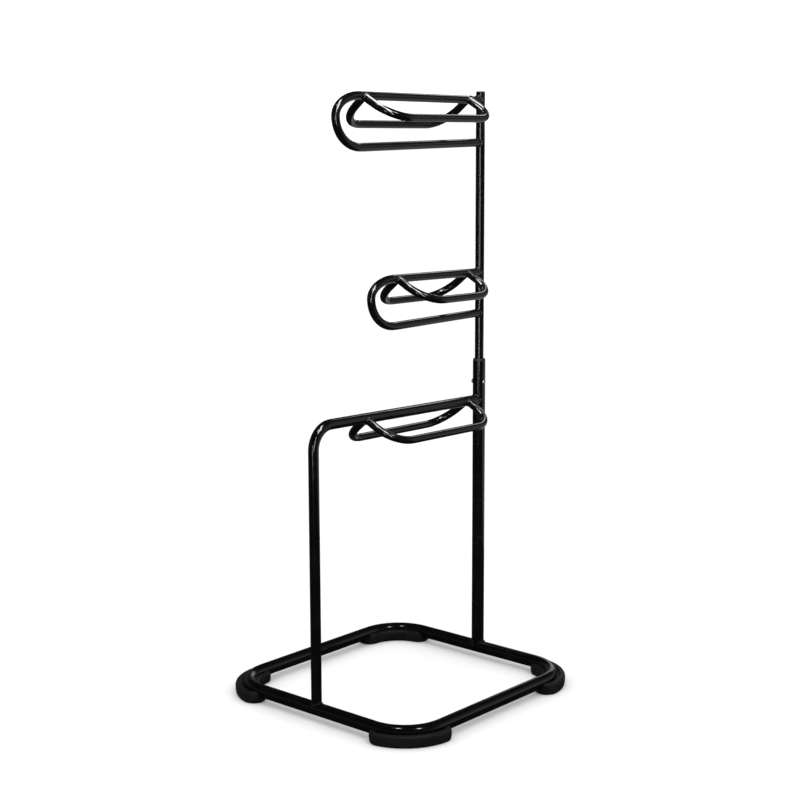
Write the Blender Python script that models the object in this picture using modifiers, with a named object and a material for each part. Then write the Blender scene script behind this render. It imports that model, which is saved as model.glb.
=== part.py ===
"""Three-tier free-standing saddle rack, made of bent and welded round steel tube.

Metres, +Z up. The origin is on the floor, under the middle of the base ring.
The mast stands at the rear (+Y), and the arms reach forward (-Y) from it.
Left is -X and right is +X, for someone who faces the open ends of the arms.
"""
import math

import bmesh
import bpy
from mathutils import Matrix, Vector

# Base ring: tube axis
BASE_WIDTH = 0.584
BASE_DEPTH = 0.610
BASE_CORNER = 0.105
BASE_TUBE = 0.016
BASE_AXIS_Z = 0.028

# Mast, in two telescoping sections
MAST_Y = BASE_DEPTH / 2
LOWER_MAST_TUBE = 0.016
LOWER_MAST_TOP = 0.790
UPPER_MAST_TUBE = 0.0112
UPPER_MAST_FOOT = 0.640
UPPER_MAST_TOP = 1.464
WALL = 0.002

# Arms: the ridge is the top run, and it climbs a little towards the front
RIDGE_RISE = 0.031
ARM_TUBE = 0.010
ARM_DEPTH = 0.104
UPPER_BEND_LENGTH = 0.076
LOWER_BEND_LENGTH = 0.083
LOWER_BEND_HEIGHT = 0.073
TOP_RIDGE_Z = 1.445
TOP_REACH = 0.525
MIDDLE_RIDGE_Z = 1.017
MIDDLE_REACH = 0.409

# Lowest arm: one tube that is ridge and front post
POST_TUBE = 0.0127
LOW_RIDGE_Z = 0.690
POST_BEND = 0.055

# Side hoops: a flat U of tube on each side of each ridge, a little less steep than the ridge
HOOP_TUBE = 0.0095
HOOP_DEPTH = 0.101
HOOP_CORNER = 0.067
HOOP_RISE = 0.0225
HOOP_REAR_Y = 0.255
HOOP_SETBACK = 0.096
HOOP_FALL = {"left": 39.0, "right": 28.0}
LOW_HOOP_FRONT_Y = -0.124

# Foot pads: an arc under each corner, on a wider radius than the corner's axis.
# Each reaches further along the ring's long sides than along its front and rear.
PAD_RADIUS = 0.110
PAD_HALF_WIDTH = 0.030
PAD_SHORT_REACH = 33.0
PAD_LONG_REACH = 41.0
PAD_TOP = 0.029
PAD_EDGE = 0.004
PAD_END_STEPS = 15
SCREW_SPREAD = 20.0

# Corners of the ring in order round it: name and the signs of X and Y
CORNERS = (("front_right", 1, -1), ("rear_right", 1, 1), ("rear_left", -1, 1), ("front_left", -1, -1))

# Pad screws and the bolt through the telescoping joint
SCREW_SHANK = 0.0018
SCREW_HEAD = 0.0038
SCREW_HEAD_HEIGHT = 0.0025
SCREW_RECESS = 0.0045
SCREW_TIP_Z = 0.019
BOLT_SHANK = 0.003
BOLT_HEAD = 0.0058
BOLT_HEAD_HEIGHT = 0.0032
BOLT_Z = 0.735
NUT_RADIUS = 0.0058
NUT_HEIGHT = 0.005

# Bushes between the two mast sections, and the plug on top
BUSH_HEIGHT = 0.022
FLANGE_HEIGHT = 0.005
CAP_HEIGHT = 0.0025
CAP_STEM = 0.014

# Clearances and mesh fineness
GAP = 0.0004
LARGE_SIDES = 16
POST_SIDES = 14
SMALL_SIDES = 12
CUTTER_SIDES = 32
COPE_TWIST = 0.05
BEND_STEPS = 6

STEEL = ("gloss_black_powder_coat", (0.012, 0.012, 0.013), 0.22, 0.0)
RUBBER = ("black_rubber", (0.030, 0.030, 0.031), 0.55, 0.0)
PLASTIC = ("black_plastic", (0.020, 0.020, 0.021), 0.40, 0.0)
ZINC = ("zinc_plated_steel", (0.55, 0.56, 0.57), 0.35, 1.0)


def new_collection(name):
    collection = bpy.data.collections.new(name)
    bpy.context.scene.collection.children.link(collection)
    return collection


def clear_scene():
    for item in list(bpy.data.objects):
        bpy.data.objects.remove(item)


clear_scene()
PARTS = new_collection("saddle_rack")
CUTTERS = new_collection("cutters")


# Materials and objects

def material(piece, recipe):
    """Give a piece its own Principled material, made from a shared recipe."""
    label, colour, roughness, metallic = recipe
    made = bpy.data.materials.new(piece.name + "_" + label)
    made.use_nodes = True
    shader = made.node_tree.nodes["Principled BSDF"]
    shader.inputs["Base Color"].default_value = (*colour, 1.0)
    shader.inputs["Roughness"].default_value = roughness
    shader.inputs["Metallic"].default_value = metallic
    piece.data.materials.append(made)


def add_object(name, data, collection):
    item = bpy.data.objects.new(name, data)
    collection.objects.link(item)
    if collection is CUTTERS:
        item.hide_render = True
        item.display_type = "WIRE"
    return item


def finish(piece, recipe):
    material(piece, recipe)
    piece.data.shade_smooth()
    piece.data.set_sharp_from_angle(angle=math.radians(35))
    return piece


def cut(target, cutter):
    """Take the cutter's shape away from the target."""
    boolean = target.modifiers.new("cut_" + cutter.name, "BOOLEAN")
    boolean.operation = "DIFFERENCE"
    boolean.object = cutter


def mesh_from_curve(curve_object, collection):
    """Replace a curve object by the mesh of its tube, with the caps welded on."""
    bpy.context.view_layer.update()
    evaluated = curve_object.evaluated_get(bpy.context.evaluated_depsgraph_get())
    data = bpy.data.meshes.new_from_object(evaluated)
    work = bmesh.new()
    work.from_mesh(data)
    bmesh.ops.remove_doubles(work, verts=work.verts, dist=0.00001)
    bmesh.ops.recalc_face_normals(work, faces=work.faces)
    work.to_mesh(data)
    work.free()
    name = curve_object.name
    placement = curve_object.matrix_world.copy()
    bpy.data.objects.remove(curve_object)
    item = add_object(name, data, collection)
    item.matrix_world = placement
    return item


# Paths

def arc(centre, first, second, start, end, steps=BEND_STEPS):
    """Points centre + first*cos + second*sin, from the start to the end angle in degrees."""
    angles = [math.radians(start + (end - start) * step / steps) for step in range(steps + 1)]
    return [centre + first * math.cos(angle) + second * math.sin(angle) for angle in angles]


def corner_centre(side_x, side_y, height):
    return Vector((side_x * (BASE_WIDTH / 2 - BASE_CORNER), side_y * (BASE_DEPTH / 2 - BASE_CORNER), height))


def base_path():
    """Axis of the base ring, once round."""
    points = []
    across = Vector((BASE_CORNER, 0, 0))
    along = Vector((0, BASE_CORNER, 0))
    for quarter, (_, side_x, side_y) in enumerate(CORNERS):
        start = 90 * (quarter - 1)
        points += arc(corner_centre(side_x, side_y, BASE_AXIS_Z), across, along, start, start + 90)
    return points


def ridge_point(ridge_z, y):
    """Point on a ridge's axis; ridge_z is its height at the mast."""
    return Vector((0, y, ridge_z + RIDGE_RISE * (MAST_Y - y)))


def hairpin_path(ridge_z, reach):
    """Axis of an arm: ridge forward from the mast, bend, and level run back below it."""
    front_y = MAST_Y - reach
    low_z = ridge_z - ARM_DEPTH
    turn_z = low_z + LOWER_BEND_HEIGHT
    ridge_end = ridge_point(ridge_z, front_y + UPPER_BEND_LENGTH)
    upper_centre = Vector((0, ridge_end.y, turn_z))
    lower_centre = Vector((0, front_y + LOWER_BEND_LENGTH, turn_z))
    forward = Vector((0, -1, 0))
    upper = arc(upper_centre, forward * UPPER_BEND_LENGTH, Vector((0, 0, ridge_end.z - turn_z)), 90, 0)
    lower = arc(lower_centre, forward * LOWER_BEND_LENGTH, Vector((0, 0, LOWER_BEND_HEIGHT)), 0, -90)
    return [ridge_point(ridge_z, MAST_Y)] + upper + lower[1:] + [Vector((0, MAST_Y, low_z))]


def post_path():
    """Axis of the lowest arm: ridge forward from the mast, bend, and post down to the base ring."""
    bend_start = ridge_point(LOW_RIDGE_Z, POST_BEND - BASE_DEPTH / 2)
    centre = bend_start - Vector((0, 0, POST_BEND))
    bend = arc(centre, Vector((0, -POST_BEND, 0)), Vector((0, 0, POST_BEND)), 90, 0)
    foot = Vector((0, -BASE_DEPTH / 2, BASE_AXIS_Z))
    return [ridge_point(LOW_RIDGE_Z, MAST_Y)] + bend + [foot]


def hoop_path(ridge_z, side, front_y):
    """Axis of a side hoop: out from the ridge, along beside it, and back to the ridge."""
    fall = math.radians(HOOP_FALL[side])
    sign = 1 if side == "right" else -1
    out = Vector((sign * math.cos(fall), 0, -math.sin(fall)))
    rearward = Vector((0, 1, -HOOP_RISE))
    half_length = (HOOP_REAR_Y - front_y) / 2
    middle = ridge_point(ridge_z, front_y + half_length)
    rear_root = middle + rearward * half_length
    front_root = middle - rearward * half_length
    straight = HOOP_DEPTH - HOOP_CORNER
    rear_centre = rear_root - rearward * HOOP_CORNER + out * straight
    front_centre = front_root + rearward * HOOP_CORNER + out * straight
    first = rearward * HOOP_CORNER
    second = out * HOOP_CORNER
    rear = arc(rear_centre, first, second, 0, 90)
    front = arc(front_centre, first, second, 90, 180)
    return [rear_root] + rear + front + [front_root]


def lengthened(points, extra):
    """The same path with both ends run on."""
    first = points[0] + (points[0] - points[1]).normalized() * extra
    last = points[-1] + (points[-1] - points[-2]).normalized() * extra
    return [first] + points[1:-1] + [last]


# Solids

def round_bar(name, points, radius, sides, collection, closed=False):
    """Solid round bar along a path."""
    data = bpy.data.curves.new(name, "CURVE")
    data.dimensions = "3D"
    data.bevel_depth = radius
    data.bevel_resolution = (sides - 4) // 2
    data.use_fill_caps = True
    spline = data.splines.new("POLY")
    spline.points.add(len(points) - 1)
    spline.use_cyclic_u = closed
    for control, point in zip(spline.points, points):
        control.co = (*point, 1.0)
    return mesh_from_curve(add_object(name, data, collection), collection)


def hollow_tube(name, points, radius, sides, trims=(), closed=False):
    """Tube with a bore. The cutters in trims shape its ends; an open bore runs out of both."""
    piece = round_bar(name, points, radius, sides, PARTS, closed)
    for trim in trims:
        cut(piece, trim)
    bore_points = points if closed else lengthened(points, radius)
    bore = round_bar(name + "_bore", bore_points, radius - WALL, sides - 4, CUTTERS, closed)
    cut(piece, bore)
    return piece


def cylinder(name, start, end, radius, sides, collection, twist=0.0):
    """Straight cylinder between two points, with its vertices on the radius; twist turns them about it."""
    axis = end - start
    work = bmesh.new()
    bmesh.ops.create_cone(
        work, cap_ends=True, segments=sides, radius1=radius, radius2=radius, depth=axis.length
    )
    data = bpy.data.meshes.new(name)
    work.to_mesh(data)
    work.free()
    item = add_object(name, data, collection)
    turn = Vector((0, 0, 1)).rotation_difference(axis.normalized()).to_matrix().to_4x4()
    item.matrix_world = Matrix.Translation((start + end) / 2) @ turn @ Matrix.Rotation(twist, 4, "Z")
    return item


def straight_tube(name, start, end, radius, sides):
    piece = cylinder(name, start, end, radius, sides, PARTS)
    run_on = (end - start).normalized() * radius
    cut(piece, cylinder(name + "_bore", start - run_on, end + run_on, radius - WALL, sides, CUTTERS))
    return piece


def cope(name, start, end, radius):
    """Cutter that shapes a tube's end to sit on another tube, given by its axis and radius."""
    clear_radius = (radius + GAP) / math.cos(math.pi / CUTTER_SIDES)
    return cylinder(name, start, end, clear_radius, CUTTER_SIDES, CUTTERS, COPE_TWIST)


def box(name, low, high, collection):
    """Box between two opposite corners."""
    work = bmesh.new()
    bmesh.ops.create_cube(work, size=1.0)
    bmesh.ops.scale(work, vec=high - low, verts=work.verts)
    bmesh.ops.translate(work, vec=(low + high) / 2, verts=work.verts)
    data = bpy.data.meshes.new(name)
    work.to_mesh(data)
    work.free()
    return add_object(name, data, collection)


def drill(piece, name, start, end, radius):
    cut(piece, cylinder(name, start, end, radius, SMALL_SIDES, CUTTERS))


def turned(name, profile, sides, collection, closed=False):
    """Solid of revolution about Z: profile points (radius, height), outer side from top to bottom."""
    data = bpy.data.meshes.new(name)
    edges = [(index, index + 1) for index in range(len(profile) - 1)]
    if closed:
        edges.append((len(profile) - 1, 0))
    data.from_pydata([(radius, 0, height) for radius, height in profile], edges, [])
    item = add_object(name, data, collection)
    screw = item.modifiers.new("turn", "SCREW")
    screw.steps = sides
    screw.render_steps = sides
    screw.use_merge_vertices = True
    screw.merge_threshold = 0.00001
    return item


# Pieces

def base_ring():
    """Closed ring of tube, with vent holes under the mast and post and pilot holes for the pad screws."""
    ring = hollow_tube("base_ring", base_path(), BASE_TUBE, LARGE_SIDES, closed=True)
    for label, y in (("rear", MAST_Y), ("front", -MAST_Y)):
        axis = Vector((0, y, BASE_AXIS_Z))
        drill(ring, "vent_" + label, axis, axis + Vector((0, 0, 2 * BASE_TUBE)), BASE_TUBE / 4)
    for index, place in enumerate(screw_places()):
        top = place + Vector((0, 0, BASE_AXIS_Z))
        drill(ring, "pilot_%d" % index, place, top, SCREW_SHANK + GAP)
    return finish(ring, STEEL)


def lower_mast():
    foot = Vector((0, MAST_Y, BASE_AXIS_Z))
    top = Vector((0, MAST_Y, LOWER_MAST_TOP))
    mast = straight_tube("lower_mast", foot, top, LOWER_MAST_TUBE, 20)
    reach = Vector((3 * BASE_TUBE, 0, 0))
    cut(mast, cope("lower_mast_cope", foot - reach, foot + reach, BASE_TUBE))
    drill_for_bolt(mast, "lower_mast_bolt_hole")
    return finish(mast, STEEL)


def upper_mast():
    foot = Vector((0, MAST_Y, UPPER_MAST_FOOT))
    top = Vector((0, MAST_Y, UPPER_MAST_TOP))
    mast = straight_tube("upper_mast", foot, top, UPPER_MAST_TUBE, LARGE_SIDES)
    drill_for_bolt(mast, "upper_mast_bolt_hole")
    return finish(mast, STEEL)


def drill_for_bolt(mast, name):
    middle = Vector((0, MAST_Y, BOLT_Z))
    reach = Vector((2 * LOWER_MAST_TUBE, 0, 0))
    drill(mast, name, middle - reach, middle + reach, BOLT_SHANK + GAP)


def hairpin_arm(tier, ridge_z, reach):
    """Arm of the top or middle tier, coped to the upper mast at both ends."""
    above = Vector((0, MAST_Y, ridge_z + 3 * ARM_TUBE))
    below = Vector((0, MAST_Y, ridge_z - ARM_DEPTH - 3 * ARM_TUBE))
    trims = [cope(tier + "_arm_cope", below, above, UPPER_MAST_TUBE)]
    path = hairpin_path(ridge_z, reach)
    return finish(hollow_tube(tier + "_arm", path, ARM_TUBE, SMALL_SIDES, trims), STEEL)


def post_and_ridge():
    """Lowest arm, coped to the lower mast behind and to the base ring below."""
    mast_axis = Vector((0, MAST_Y, LOW_RIDGE_Z))
    rise = Vector((0, 0, 3 * POST_TUBE))
    trims = [cope("post_mast_cope", mast_axis - rise, mast_axis + rise, LOWER_MAST_TUBE)]
    foot = Vector((0, -BASE_DEPTH / 2, BASE_AXIS_Z))
    reach = Vector((3 * POST_TUBE, 0, 0))
    trims.append(cope("post_base_cope", foot - reach, foot + reach, BASE_TUBE))
    return finish(hollow_tube("lower_arm_and_post", post_path(), POST_TUBE, POST_SIDES, trims), STEEL)


def side_hoop(tier, side, ridge_z, ridge_tube, front_y):
    """U of tube on the flank of a ridge, kept clear of its twin; saddles rest on its long side."""
    name = "%s_%s_hoop" % (tier, side)
    sign = 1 if side == "right" else -1
    front = ridge_point(ridge_z, front_y - 2 * HOOP_TUBE)
    rear = ridge_point(ridge_z, HOOP_REAR_Y + 2 * HOOP_TUBE)
    middle = sign * GAP / 2
    beyond = middle - sign * 2 * HOOP_TUBE
    low = Vector((min(middle, beyond), front.y, rear.z - 3 * HOOP_TUBE))
    high = Vector((max(middle, beyond), rear.y, front.z + 3 * HOOP_TUBE))
    trims = [cope(name + "_cope", front, rear, ridge_tube), box(name + "_trim", low, high, CUTTERS)]
    path = hoop_path(ridge_z, side, front_y)
    return finish(hollow_tube(name, path, HOOP_TUBE, SMALL_SIDES, trims), STEEL)


def mast_bush(name, top_z, flanged):
    """Sleeve that centres the upper mast in the lower one; the flanged one closes the lower mast's top."""
    inner = UPPER_MAST_TUBE + GAP
    outer = LOWER_MAST_TUBE - WALL - GAP
    foot_z = top_z - BUSH_HEIGHT
    profile = [(inner, foot_z), (inner, top_z), (outer, top_z), (outer, foot_z)]
    if flanged:
        brim_z = top_z + GAP
        profile = [(inner, foot_z), (inner, brim_z + FLANGE_HEIGHT)]
        profile += [(LOWER_MAST_TUBE - GAP, brim_z + FLANGE_HEIGHT), (LOWER_MAST_TUBE - GAP, brim_z)]
        profile += [(outer, brim_z), (outer, foot_z)]
    bush = turned(name, profile, LARGE_SIDES, PARTS, closed=True)
    bush.location = (0, MAST_Y, 0)
    return finish(bush, PLASTIC)


def mast_cap():
    """Plug pressed into the top of the mast, with a low domed head."""
    stem = UPPER_MAST_TUBE - WALL - GAP
    head_z = UPPER_MAST_TOP + GAP
    profile = [(0, head_z + CAP_HEIGHT), (UPPER_MAST_TUBE * 0.7, head_z + CAP_HEIGHT)]
    profile += [(UPPER_MAST_TUBE, head_z + CAP_HEIGHT * 0.5), (UPPER_MAST_TUBE, head_z)]
    profile += [(stem, head_z), (stem, head_z - CAP_STEM), (0, head_z - CAP_STEM)]
    cap = turned("mast_cap", profile, LARGE_SIDES, PARTS)
    cap.location = (0, MAST_Y, 0)
    return finish(cap, PLASTIC)


def lock_bolt():
    """Button-head bolt across the telescoping joint, head on the right."""
    head_start = LOWER_MAST_TUBE + GAP
    tip = -(LOWER_MAST_TUBE + NUT_HEIGHT + 3 * GAP)
    profile = [(0, head_start + BOLT_HEAD_HEIGHT), (BOLT_HEAD * 0.6, head_start + BOLT_HEAD_HEIGHT)]
    profile += [(BOLT_HEAD, head_start + BOLT_HEAD_HEIGHT * 0.4), (BOLT_HEAD, head_start)]
    profile += [(BOLT_SHANK, head_start), (BOLT_SHANK, tip), (0, tip)]
    bolt = turned("mast_lock_bolt", profile, SMALL_SIDES, PARTS)
    bolt.matrix_world = Matrix.Translation((0, MAST_Y, BOLT_Z)) @ Matrix.Rotation(math.pi / 2, 4, "Y")
    return finish(bolt, ZINC)


def lock_nut():
    near = Vector((-(LOWER_MAST_TUBE + GAP), MAST_Y, BOLT_Z))
    far = near - Vector((NUT_HEIGHT, 0, 0))
    run_on = Vector((NUT_HEIGHT, 0, 0))
    nut = cylinder("mast_lock_nut", near, far, NUT_RADIUS, 6, PARTS)
    drill(nut, "mast_lock_nut_hole", near + run_on, far - run_on, BOLT_SHANK + GAP)
    return finish(nut, ZINC)


def pad_outline(half_width, long_left):
    """Outline of a pad about its bend's centre, heading for +X: an arc band with round ends."""
    start = -PAD_SHORT_REACH if long_left else -PAD_LONG_REACH
    end = PAD_LONG_REACH if long_left else PAD_SHORT_REACH
    origin = Vector((0, 0, 0))
    east = Vector((1, 0, 0))
    north = Vector((0, 1, 0))
    outer = PAD_RADIUS + half_width
    inner = PAD_RADIUS - half_width
    points = arc(origin, east * outer, north * outer, start, end, 12)
    points += round_end(end, half_width, end)
    points += arc(origin, east * inner, north * inner, end, start, 8)
    points += round_end(start, half_width, 180 + start)
    return points


def round_end(heading, half_width, start):
    """Inner points of the half circle that closes the band at one end."""
    angle = math.radians(heading)
    centre = Vector((math.cos(angle), math.sin(angle), 0)) * PAD_RADIUS
    first = Vector((half_width, 0, 0))
    second = Vector((0, half_width, 0))
    return arc(centre, first, second, start, start + 180, PAD_END_STEPS)[1:-1]


def foot_pad(name, side_x, side_y):
    """Moulded rubber pad: a cradle for the lower half of the ring's corner, with a flat sole."""
    data = bpy.data.curves.new(name, "CURVE")
    data.dimensions = "2D"
    data.fill_mode = "BOTH"
    data.extrude = PAD_TOP / 2
    outline = pad_outline(PAD_HALF_WIDTH, side_x != side_y)
    spline = data.splines.new("POLY")
    spline.points.add(len(outline) - 1)
    spline.use_cyclic_u = True
    for control, point in zip(spline.points, outline):
        control.co = (*point, 1.0)
    flat = add_object(name, data, PARTS)
    heading = math.atan2(side_y, side_x)
    centre = corner_centre(side_x, side_y, PAD_TOP / 2)
    flat.matrix_world = Matrix.Translation(centre) @ Matrix.Rotation(heading, 4, "Z")
    pad = mesh_from_curve(flat, PARTS)
    edge = pad.modifiers.new("rounded_edges", "BEVEL")
    edge.width = PAD_EDGE
    edge.segments = 2
    edge.limit_method = "ANGLE"
    edge.angle_limit = math.radians(50)
    return pad


def screw_places():
    """Floor points under the pad screws, two to a corner."""
    places = []
    for _, side_x, side_y in CORNERS:
        heading = math.degrees(math.atan2(side_y, side_x))
        for turn in (-SCREW_SPREAD, SCREW_SPREAD):
            angle = math.radians(heading + turn)
            offset = Vector((math.cos(angle), math.sin(angle), 0)) * BASE_CORNER
            places.append(corner_centre(side_x, side_y, 0) + offset)
    return places


def foot_pads():
    """The four pads, each channelled for the ring and drilled for its screws."""
    channel = round_bar("pad_channel", base_path(), BASE_TUBE + GAP, LARGE_SIDES, CUTTERS, closed=True)
    places = screw_places()
    for index, (label, side_x, side_y) in enumerate(CORNERS):
        pad = foot_pad("foot_pad_" + label, side_x, side_y)
        cut(pad, channel)
        for hole in (0, 1):
            place = places[2 * index + hole]
            below = place - Vector((0, 0, 0.01))
            recess_top = place + Vector((0, 0, SCREW_RECESS))
            drill(pad, "screw_hole_%s_%d" % (label, hole), below, place + Vector((0, 0, 0.02)), SCREW_SHANK + GAP)
            drill(pad, "screw_recess_%s_%d" % (label, hole), below, recess_top, SCREW_HEAD + GAP)
        finish(pad, RUBBER)


def pad_screws():
    """Pan-head screws, up through the soles into the ring, two to a pad."""
    head_top = SCREW_RECESS - GAP
    head_foot = head_top - SCREW_HEAD_HEIGHT
    profile = [(0, SCREW_TIP_Z), (SCREW_SHANK, SCREW_TIP_Z - SCREW_SHANK), (SCREW_SHANK, head_top)]
    profile += [(SCREW_HEAD, head_top), (SCREW_HEAD * 0.8, head_foot), (0, head_foot)]
    places = screw_places()
    for index, (label, _, _) in enumerate(CORNERS):
        for hole, letter in enumerate("ab"):
            screw = turned("pad_screw_%s_%s" % (label, letter), profile, 10, PARTS)
            screw.location = places[2 * index + hole]
            finish(screw, ZINC)


def build():
    base_ring()
    foot_pads()
    pad_screws()
    lower_mast()
    upper_mast()
    mast_bush("mast_flanged_bush", LOWER_MAST_TOP, True)
    mast_bush("mast_inner_bush", UPPER_MAST_FOOT + BUSH_HEIGHT, False)
    lock_bolt()
    lock_nut()
    mast_cap()
    post_and_ridge()
    hairpin_arm("top", TOP_RIDGE_Z, TOP_REACH)
    hairpin_arm("middle", MIDDLE_RIDGE_Z, MIDDLE_REACH)
    for side in ("left", "right"):
        side_hoop("top", side, TOP_RIDGE_Z, ARM_TUBE, MAST_Y - TOP_REACH + HOOP_SETBACK)
        side_hoop("middle", side, MIDDLE_RIDGE_Z, ARM_TUBE, MAST_Y - MIDDLE_REACH + HOOP_SETBACK)
        side_hoop("lower", side, LOW_RIDGE_Z, POST_TUBE, LOW_HOOP_FRONT_Y)


build()
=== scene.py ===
"""Looks of the three-tier saddle rack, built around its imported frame. Metres, +Z up.

Left is -X, right is +X, the arms reach towards -Y and the mast stands at +Y.
Tubes, pads, the cap, the collar and fasteners are rebuilt finely in the places that the frame gives
them, and the weld beads are added. The inner bush, which is out of sight, stays as the frame has it.
Every piece is a closed mesh that rides on the one rigid body.
"""

import math
import random

import bmesh
import bpy
from mathutils import Matrix, Vector


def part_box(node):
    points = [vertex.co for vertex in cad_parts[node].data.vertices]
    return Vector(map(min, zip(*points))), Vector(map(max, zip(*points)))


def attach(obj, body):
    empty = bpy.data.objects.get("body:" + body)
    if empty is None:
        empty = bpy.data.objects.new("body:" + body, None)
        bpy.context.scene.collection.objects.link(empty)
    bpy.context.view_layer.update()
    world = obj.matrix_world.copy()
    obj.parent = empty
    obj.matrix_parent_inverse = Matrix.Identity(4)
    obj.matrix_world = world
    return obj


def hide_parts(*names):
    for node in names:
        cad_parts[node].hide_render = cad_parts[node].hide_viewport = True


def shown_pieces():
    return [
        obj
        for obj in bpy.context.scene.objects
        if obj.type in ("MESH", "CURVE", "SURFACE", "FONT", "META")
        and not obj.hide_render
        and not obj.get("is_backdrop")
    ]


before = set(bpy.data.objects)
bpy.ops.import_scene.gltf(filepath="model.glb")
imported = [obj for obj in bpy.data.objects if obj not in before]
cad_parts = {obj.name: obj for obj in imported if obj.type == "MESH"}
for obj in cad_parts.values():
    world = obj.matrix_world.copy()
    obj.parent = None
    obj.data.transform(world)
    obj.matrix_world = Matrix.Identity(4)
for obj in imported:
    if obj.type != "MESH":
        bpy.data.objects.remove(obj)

BODY = "root"
TIERS = ("top", "middle", "lower")
SIDES = {"left": -1, "right": 1}
CORNERS = {"front_right": (1, -1), "rear_right": (1, 1), "rear_left": (-1, 1), "front_left": (-1, -1)}
UP = Vector((0, 0, 1))
ACROSS = Vector((1, 0, 0))
FORWARD = Vector((0, -1, 0))

# Shapes of the bends, which the frame's boxes do not say. A rise is per metre forward.
BASE_CORNER = 0.105
RIDGE_RISE = 0.031
ARM_DEPTH = 0.104
UPPER_BEND_LENGTH = 0.076
LOWER_BEND_LENGTH = 0.083
LOWER_BEND_HEIGHT = 0.073
POST_BEND = 0.055
HOOP_DEPTH = 0.101
HOOP_CORNER = 0.067
HOOP_RISE = 0.0225
HOOP_FALL = {"left": 39.0, "right": 28.0}
HOOP_TUBE = 0.0095
ALONG_RIDGE = Vector((0, -1, RIDGE_RISE))

# Fineness of the tubes, and how a tube flattens where it is bent: fully at three tube radii
TUBE_SIDES = 56
BEND_STEPS = 32
FLATTENING = 0.022
WIDENING = 0.5
FULL_BEND = 3

# Weld beads. A hoop's seam is taken a hair inside its tube, which is nearly as wide as the ridge.
BEAD_SIZE = 0.0024
MAST_BEAD_SIZE = 0.0032
HOOP_BEAD_SIZE = BEAD_SIZE * 0.85
HOOP_SEAM = HOOP_TUBE * 0.995
SEAM_STRETCH = 1.1
RIPPLE_LENGTH = 0.0026
RIPPLE_DEPTH = 0.09
RIPPLE_STEPS = 6
RIPPLE_HEIGHTS = (0.9, 1.12)
WANDER = 0.12
WANDER_WAVES = 3
BEAD_SIDES = 12

# Foot pads. The angles are degrees either side of the bend's middle.
PAD_RADIUS = 0.110
PAD_SHORT_REACH = 33.0
PAD_LONG_REACH = 41.0
PAD_END_STEPS = 30
PAD_SIDE_STEPS = 44
SCREW_TURN = 20.0
SCREW_RECESS_RADIUS = 0.0042
SCREW_RECESS_DEPTH = 0.0045

# Fasteners. The bolt's head has a flat, as a share of its radius, and a dome, in degrees from the axis.
BOLT_SHANK = 0.003
BOLT_FLAT = 0.08
BOLT_DOME_START = 8
BOLT_DOME_SWEEP = 78
BOLT_DOME_STEPS = 8
BOLT_DOME_FULLNESS = 0.8
BOLT_SOCKET = 0.0024
BOLT_SOCKET_DEPTH = 0.0020
NUT_CHAMFER = 0.0007
NUT_FACE = 0.96
SCREW_SHANK = 0.0018
SCREW_HEAD_HEIGHT = 0.0025
SCREW_HEAD_ROUNDING = 0.45
CROSS_WIDTH = 0.0011
CROSS_LENGTH = 0.0042
CROSS_DEPTH = 0.0012

# Plastic parts. The cap's dome is in shares of its radius and of FINE, the smallest step in an outline.
FINE = 0.0005
CAP_DOME = ((0.0, 1.0), (0.35, 0.8), (0.65, 0.3))
CAP_EDGE = 0.0014
BRIM_EDGE = 0.0016

# Colours
COAT_COLOURS = ((0.0007, 0.0007, 0.0008), (0.0014, 0.0013, 0.0013))
MARK_COLOUR = (0.030, 0.028, 0.026)
RUBBER_COLOURS = ((0.0030, 0.0027, 0.0025), (0.0075, 0.0062, 0.0054))
PLASTIC_COLOURS = ((0.010, 0.010, 0.0105), (0.018, 0.018, 0.018))
ZINC_COLOURS = ((0.50, 0.51, 0.53), (0.64, 0.63, 0.60))
FLOOR_COLOURS = ((0.80, 0.80, 0.80), (0.83, 0.83, 0.83))

# Surround: what the floor and the camera get, and what gloss reflects. The band goes between two
# heights of the direction, from one strength to another.
FLOOR_RADIUS = 60.0
SKY = 1.25
REFLECTED_BAND = (0.30, 0.45, 0.060, 0.006)
REFLECTED_FLOOR = 0.018
GLOW = 0.30
GLOW_DIRECTION = (0.66, 0.75, 0.05)
GLOW_NARROWNESS = 7.0

# Camera
CAMERA_AZIMUTH = 41.32
CAMERA_ELEVATION = 10.41
CAMERA_ROLL = -0.18
CAMERA_DISTANCE = 4.125
CAMERA_TARGET = (-0.0009, -0.0008, 0.7297)
FOCAL_LENGTH = 76.4
SENSOR_WIDTH = 36.0
SIGHT = 200.0


def finish_piece(piece, material, slot, *nodes):
    """Give a piece its material and body, and let it stand for its frame nodes. The slot is not used."""
    piece.data.materials.clear()
    piece.data.materials.append(material)
    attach(piece, BODY)
    if nodes:
        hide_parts(*nodes)


def new_piece(name, work, sharp_angle=40):
    """Object made from a bmesh, shaded smooth except over sharp edges."""
    bmesh.ops.recalc_face_normals(work, faces=work.faces)
    data = bpy.data.meshes.new(name)
    work.to_mesh(data)
    work.free()
    data.shade_smooth()
    data.set_sharp_from_angle(angle=math.radians(sharp_angle))
    piece = bpy.data.objects.new(name, data)
    bpy.context.scene.collection.objects.link(piece)
    return piece


# Paths

def arc(centre, first, second, start, end, steps=BEND_STEPS):
    """Points centre + first*cos + second*sin, from the start to the end angle in degrees."""
    angles = [math.radians(start + (end - start) * step / steps) for step in range(steps + 1)]
    return [centre + first * math.cos(angle) + second * math.sin(angle) for angle in angles]


def middle_of(node):
    """Middle of a node's box."""
    low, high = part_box(node)
    return (low + high) / 2


def half_size(node):
    """Half the size of a node's box."""
    low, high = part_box(node)
    return (high - low) / 2


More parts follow.
